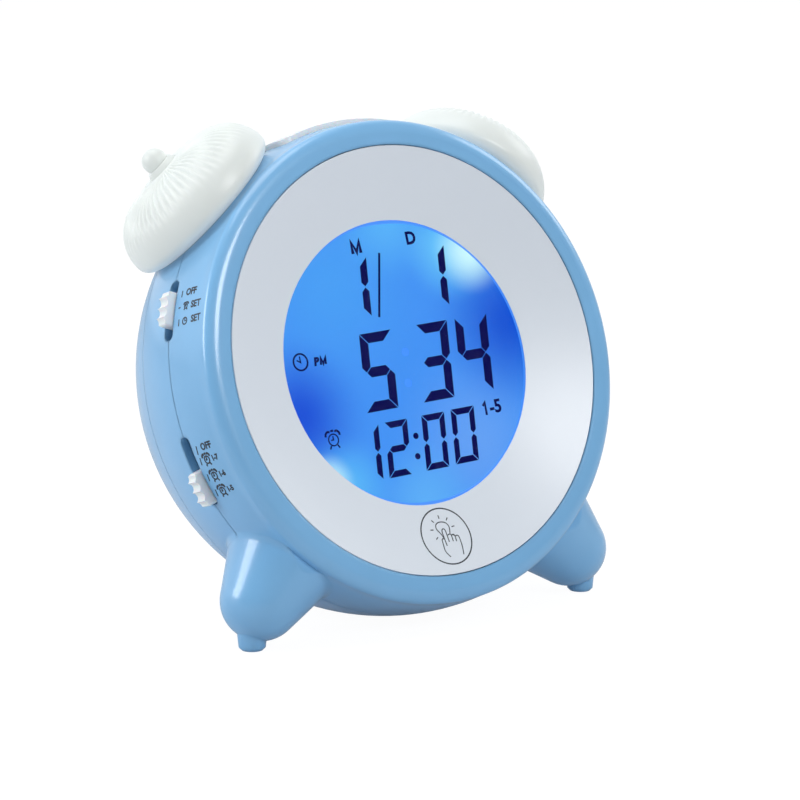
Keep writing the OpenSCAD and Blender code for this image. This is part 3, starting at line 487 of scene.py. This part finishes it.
def alarm_sign(cx, cy, r, line):
    """A small pictogram of an alarm clock with two bells, hands and feet."""
    def at(*points):
        return [(cx + r * x, cy + r * y) for x, y in points]

    shapes = [ring(cx, cy, r - line, r)]
    for side in (-1, 1):
        bell = at((side * 0.45, 1.25), (side * 0.85, 1.35), (side * 1.25, 1.0), (side * 1.3, 0.6))
        shapes.append(stroke(smooth_path(bell), line * 1.6))
        shapes.append(stroke(at((side * 0.6, -0.85), (side * 0.9, -1.35)), line * 1.2))
    shapes.append(stroke(at((-0.25, 1.42), (0.25, 1.42)), line * 1.6))
    shapes.append(stroke(at((0, 0.6), (0, 0), (-0.45, 0)), line))
    return shapes


digit_slant, segment_gap = 0.135, 0.1
lit_segments = {"0": "abcdef", "1": "bc", "2": "abged", "3": "abgcd", "4": "fgbc", "5": "afgcd"}
dark = []
for number, cx, cy, w, h, t in (
        ("1", -7.65, 18.45, 6.0, 13.7, 2.1), ("1", 14.3, 18.3, 6.0, 14.1, 2.1),
        ("5", -6.95, -0.8, 9.0, 17.9, 2.45), ("3", 8.95, -0.8, 9.0, 17.9, 2.45),
        ("4", 20.2, -0.8, 9.3, 17.9, 2.45), ("1", -13.9, -18.7, 6.0, 12.6, 1.65),
        ("2", -6.15, -18.7, 6.5, 12.7, 1.65), ("0", 4.3, -18.7, 6.6, 12.7, 1.65),
        ("0", 12.75, -18.6, 6.8, 12.7, 1.65)):
    for outline in digit(lit_segments[number], w, h, t, segment_gap):
        slanted = [(cx - w / 2 + x + (y - h / 2) * digit_slant, cy - h / 2 + y)
                   for x, y in outline]
        dark.append((slanted, [tuple(range(len(slanted)))]))
dark += [disc(-0.68, -16.7, 0.72), disc(-1.35, -21.3, 0.72),
         stroke([(0.0, 25.6), (-3.7, 11.2)], 0.55),
         letter_m(-6.0, 27.6, 2.7, 0.82), letters("D", 2.8, 9.4, 27.8, 0.035, 0.95),
         letters("P", 1.7, -22.9, 3.65, 0.06, slant=0.15), letter_m(-21.1, 3.65, 1.6, 0.6, 0.15),
         letters("-5", 2.9, 23.0, -13.6, 0.03),
         stroke([(19.5, -12.9), (20.2, -12.2), (20.1, -15.1)], 0.6),
         ring(-27.1, 4.2, 1.65, 2.05),
         stroke([(-27.1, 5.5), (-27.1, 4.1), (-28.0, 4.7)], 0.3)]
dark += alarm_sign(-22.8, -14.1, 1.45, 0.3)
display_turn, display_top = math.radians(2.4), -7.1


def on_display(x, y, height):
    """A point of the display's drawing laid on the panel, which sits a little turned."""
    return (x * math.cos(display_turn) - y * math.sin(display_turn),
            x * math.sin(display_turn) + y * math.cos(display_turn), display_top + height)


navy = moulded("liquid crystal", (0.002, 0.002, 0.010), 0.5, mottle=0.2, Specular_IOR_Level=0.1,
               Emission_Color=(0.0, 0.0, 0.065, 1), Emission_Strength=1.0)
plates("display_segments", dark, on_display, 0.0, 0.05, navy, "clock", "lcd")
unlit = moulded("resting liquid crystal", (0.02, 0.12, 0.5), 0.35,
                Emission_Color=(0.035, 0.20, 0.74, 1), Emission_Strength=1.0)
plates("display_colon", [disc(1.35, 2.45, 0.9), disc(0.35, -4.6, 0.9)], on_display, 0.0, 0.03,
       unlit, "clock", "lcd")

# Touch key sign: a thin printed ring on the face with a lamp, its rays and a pointing hand
# inside. Dark grey ink laid on the dish, over the touch pad behind it.
face_r, window_r, dish_depth, face_set_back = 49, 31.9, 4.8, 0.2
dish_r = (face_r ** 2 - window_r ** 2) / (2 * dish_depth)
dish_z = math.sqrt(dish_r ** 2 - face_r ** 2) - face_set_back


def on_dish(x, y, height):
    """A point of the face's drawing laid on the dish."""
    return (x, y, dish_z - math.sqrt(dish_r ** 2 - x * x - y * y) + height)


sign_x, sign_y, sign_wide = 0.6, -40.25, 0.25


def sign_stroke(*points):
    """A line of the sign, in millimetres from the middle of its ring."""
    return stroke([(sign_x + x, sign_y + y) for x, y in points], sign_wide)


ink = moulded("dark grey ink", (0.022, 0.028, 0.04), 0.5, mottle=0.2)
sign = [ring(sign_x, sign_y, 6.35, 6.67, 96)]
sign.append(sign_stroke(*smooth_path(
    [(-0.75, -0.3), (-1.2, 0.8), (-1.85, 1.9), (-1.7, 2.8), (-0.9, 3.3), (0.3, 3.3), (1.25, 2.85),
     (1.65, 1.9), (1.3, 0.5)])))
for ray in range(7):
    way = math.radians(-125 + ray * 42) + math.pi / 2
    sign.append(sign_stroke(*[(-0.2 + r * math.cos(way), 1.6 + r * math.sin(way))
                             for r in (2.55, 3.35)]))
for finger in (
        [(-0.6, -2.2), (-0.65, 0.5), (-0.55, 1.4), (-0.15, 1.75), (0.3, 1.4), (0.35, 0.2),
         (0.35, -1.4)],
        [(0.55, 0.15), (1.05, 0.35), (1.45, 0.1), (1.45, -1.4)],
        [(1.55, 0.05), (2.0, 0.15), (2.35, -0.2), (2.3, -1.5)],
        [(2.5, -0.3), (3.0, -0.2), (3.35, -0.7), (3.3, -2.8), (2.9, -4.7)],
        [(-0.65, -0.6), (-1.1, -0.45), (-1.4, -0.8), (-1.5, -1.9), (-1.55, -3.4), (-0.7, -4.8)]):
    sign.append(sign_stroke(*smooth_path(finger)))
plates("touch_sign", sign, on_dish, -0.02, 0.02, ink, "clock", "face")

# Slide marks: small printed signs in front of each slide, a tick for each position, with OFF, a
# little clock and an alarm clock, and the day numbers beside the lower slide. Each row is printed
# on the housing's side, and runs from the slide toward the face.
row_slope, row_depth, row_r = 0.03, 11.0, 56


def row(name, angle, *drawing):
    """A row of marks, its place in degrees from straight up, anticlockwise from the front."""
    def on_side(x, y, height):
        around = math.radians(math.degrees((y + row_slope * x) / row_r) - angle)
        depth = row_depth - x
        side = housing_radius(depth) + height
        return (side * math.sin(around), side * math.cos(around), -depth)

    plates(name, drawing, on_side, -0.02, 0.03, ink, "clock", "body")


def word(text, x):
    """A word of a row."""
    return letters(text, 1.5, x, 0.0, 0.035, 0.95)


tick = stroke([(0.0, 0.7), (0.0, -0.8)], 0.3)
row("time_marks_off", 67.5, word("OFF", 3.3), tick)
row("time_marks_alarm", 70.75, word("SET", 5.5), stroke([(-0.6, 0), (0.1, 0)], 0.3),
    *alarm_sign(2.1, 0.0, 0.62, 0.24))
row("time_marks_clock", 74.2, word("SET", 6.0), tick, ring(2.2, 0.0, 0.62, 0.9, 24),
    stroke([(2.2, 0.55), (2.2, 0), (2.65, 0)], 0.22))
row("alarm_marks_off", 102.9, word("OFF", 2.9), stroke([(-0.4, 0.6), (-0.8, -1.3)], 0.3))
for angle, days in ((105.9, "1-7"), (109.85, "1-6"), (113.7, "1-5")):
    row("alarm_marks_" + days[-1], angle, letters(days, 1.2, 4.25, -0.1, 0.05, 0.9),
        stroke([(-0.7, 0.8), (-1.0, -0.8)], 0.3), *alarm_sign(1.55, 0.0, 1.0, 0.32))


# Bells: two thin translucent milky shells, the night lights, each a dome on a base. Fine ribs run
# out from the dome's crown to its rim: the dome is a turned shell, and a node group cuts the
# grooves between them. The base has a short stem that stands in its seat. The shells and balls
# glow faintly: a painted glow that evens out their shading.
def rib_maker():
    """Geometry nodes that cut even grooves round the z axis between two radii."""
    group = bpy.data.node_groups.new("ribs", "GeometryNodeTree")
    for socket, kind, value in (
            ("Geometry", "Geometry", None), ("Ribs", "Int", 64), ("Rib depth", "Float", 0.42),
            ("Inner radius", "Float", 5.0), ("Outer radius", "Float", 20.1),
            ("Fade", "Float", 3.2), ("Skin", "Material", None)):
        made = group.interface.new_socket(name=socket, in_out="INPUT",
                                          socket_type="NodeSocket" + kind)
        if value is not None:
            made.default_value = value
    group.interface.new_socket(name="Geometry", in_out="OUTPUT",
                               socket_type="NodeSocketGeometry")
    new, link = group.nodes.new, group.links.new
    given = new("NodeGroupInput")
    inner, outer, fade = [given.outputs[s] for s in ("Inner radius", "Outer radius", "Fade")]
    x, y, _ = add(group, "SeparateXYZ", Vector=new("GeometryNodeInputPosition").outputs[0]).outputs
    radius = calc(group, "SQRT", calc(group, "ADD", calc(group, "MULTIPLY", x, x),
                                      calc(group, "MULTIPLY", y, y)))
    angle = calc(group, "ARCTAN2", y, x)
    wave = calc(group, "COSINE", calc(group, "MULTIPLY", angle, given.outputs["Ribs"]))
    groove = calc(group, "SUBTRACT", calc(group, "MULTIPLY", calc(group, "ADD", wave, 1.0), 0.5),
                  1.0)
    begin = smoothstep(group, Value=radius, From_Min=inner,
                       From_Max=calc(group, "ADD", inner, fade))
    end = calc(group, "SUBTRACT", 1.0,
               smoothstep(group, Value=radius, From_Min=calc(group, "SUBTRACT", outer, fade),
                          From_Max=outer))
    normal = new("GeometryNodeInputNormal").outputs[0]
    outside = calc(group, "GREATER_THAN", add(group, "SeparateXYZ", Vector=normal).outputs[2],
                   0.05)
    amount = calc(group, "MULTIPLY",
                  calc(group, "MULTIPLY", groove, calc(group, "MULTIPLY", begin, end)),
                  calc(group, "MULTIPLY", given.outputs["Rib depth"], outside))
    scale = add(group, "VectorMath")
    scale.operation = "SCALE"
    link(normal, scale.inputs[0])
    link(amount, scale.inputs["Scale"])
    move, real, coat, done = [new(kind) for kind in (
        "GeometryNodeSetPosition", "GeometryNodeRealizeInstances", "GeometryNodeSetMaterial",
        "NodeGroupOutput")]
    link(given.outputs["Geometry"], move.inputs["Geometry"])
    link(scale.outputs[0], move.inputs["Offset"])
    link(move.outputs[0], real.inputs[0])
    link(real.outputs[0], coat.inputs["Geometry"])
    link(given.outputs["Skin"], coat.inputs["Material"])
    link(coat.outputs[0], done.inputs[0])
    return group


# The milky plastic's faint glow is painted light: it lightens the shaded side of the bells and
# balls and evens out their shading.
milky = moulded("milky plastic", (0.61, 0.64, 0.62), 0.36, mottle=0.015, Subsurface_Weight=0.5,
                Subsurface_Scale=0.0012, Subsurface_Radius=(1.0, 1.0, 0.9),
                Emission_Color=(0.96, 1.0, 0.97, 1), Emission_Strength=0.18)
ribs = rib_maker()
bell_wall, ball_hole, joint_z = 1.6, 4.1, 1.3
crown_r, crown_drop, crown_end = 64.85, 53.45, 11.75
round_r, round_middle = 10.5, 9.85
base_middle, base_wide, base_deep = 16.2, 4.15, 3.2


def dome_height(r, skin):
    """Height of the dome over its widest circle at a radius, at a depth under its outside."""
    if r < crown_end * (crown_r - skin) / crown_r:
        return math.sqrt((crown_r - skin) ** 2 - r * r) - crown_drop
    return math.sqrt(max((round_r - skin) ** 2 - (r - round_middle) ** 2, 0.0))


def round_at(z, skin):
    """Radius of the dome's outer round at a height, at a depth under its outside."""
    return round_middle + math.sqrt((round_r - skin) ** 2 - z * z)


def crowded(low, high, steps):
    """Radii from low to high that crowd together toward high."""
    return [low + (high - low) * math.sin(i / steps * math.pi / 2) for i in range(steps + 1)]


inner_reach = round_at(joint_z, bell_wall) - base_middle
dome = ([(r, dome_height(r, 0.0)) for r in crowded(ball_hole, round_at(joint_z, 0.0), 60)]
        + [(r, dome_height(r, bell_wall))
           for r in reversed(crowded(ball_hole, round_at(joint_z, bell_wall), 24))])
arcs = [math.pi / 2 * i / 24 for i in range(25)]
stem = [(6.0, -base_deep), (6.0, -5.8), (8.0, -5.8), (8.0, -7.2), (3.0, -7.2)]
base = ([(3.0, -bell_wall)]
        + [(base_middle + inner_reach * math.sin(a),
            joint_z - (joint_z + bell_wall) * math.cos(a)) for a in arcs]
        + [(round_at(z, 0.0), z) for z in (joint_z, 0.975, 0.65, 0.325)]
        + [(base_middle + base_wide * math.cos(a), -base_deep * math.sin(a)) for a in arcs]
        + stem)
seat_depth, seat_angle, seat_tilt, seat_r = 15, 40.3, 97, 56.9
for side, where_on in ((-1, "left"), (1, "right")):
    blank = bpy.data.objects.new("bell blank", finished("bell blank", turned(dome, 528)))
    bpy.context.scene.collection.objects.link(blank)
    modifier = blank.modifiers.new("ribs", "NODES")
    modifier.node_group = ribs
    for item in ribs.interface.items_tree:
        if item.name == "Skin":
            modifier[item.identifier] = milky
    ready = blank.evaluated_get(bpy.context.evaluated_depsgraph_get())
    ribbed = bpy.data.meshes.new_from_object(ready)
    bpy.data.objects.remove(blank)
    for name, mesh, node in (
            ("bell_dome_" + where_on, ribbed, where_on + "_bell"),
            ("bell_base_" + where_on, finished("bell base", turned(base, 160), milky),
             where_on + "_bell_base")):
        mesh.transform(face_to_world @ Matrix.Translation((0, 0, -seat_depth))
                       @ Matrix.Rotation(math.radians(-side * seat_angle), 4, "Z")
                       @ Matrix.Rotation(math.radians(-seat_tilt), 4, "X")
                       @ Matrix.Translation((0, 0, seat_r)))
        add_piece(name, mesh, "clock", "milky", node)
for node in ("left_bell_ball", "right_bell_ball"):
    dress(node, milky)

# White keys: snooze bar, the two slide knobs and the two set buttons, all moulded in one white
# plastic. They keep the CAD's own shapes and move with their joints.
white = moulded("white key plastic", (0.84, 0.87, 0.88), 0.32, Subsurface_Weight=0.2,
                Subsurface_Scale=0.001)
for node in ("snooze_bar", "time_knob", "alarm_knob", "up_button", "down_button"):
    dress(node, white)

# Everything inside: green boards with dark parts, a plain white frame round the display, plated
# steel springs, plates, switches and screws, and dark batteries. Only the cells and their contacts
# show, when the battery door is off.
for node, colour, rough in (
        ("display_frame", (0.75, 0.75, 0.73), 0.5), ("light_guide", (0.85, 0.9, 0.95), 0.3),
        ("contact_strips", (0.60, 0.25, 0.32), 0.6), ("main_board", (0.02, 0.12, 0.05), 0.4),
        ("board_parts", (0.02, 0.02, 0.025), 0.4), ("bell_lamps", (0.03, 0.14, 0.06), 0.4),
        ("snooze_board", (0.02, 0.12, 0.05), 0.4), ("switch_boards", (0.02, 0.12, 0.05), 0.4),
        ("button_board", (0.02, 0.12, 0.05), 0.4), ("speaker", (0.03, 0.03, 0.035), 0.5),
        ("batteries", (0.03, 0.03, 0.04), 0.35)):
    dress(node, moulded(node.replace("_", " "), colour, rough))
steel = moulded("plated steel", (0.60, 0.61, 0.63), 0.3, mottle=0.05, Metallic=1.0)
for node in ("touch_spring", "snooze_switch", "time_switch", "alarm_switch", "button_switches",
             "battery_springs", "battery_plates", "case_screws", "face_screws", "board_screws",
             "small_screws"):
    dress(node, steel)
dress("touch_pad", moulded("copper foil", (0.65, 0.36, 0.18), 0.35, Metallic=1.0))
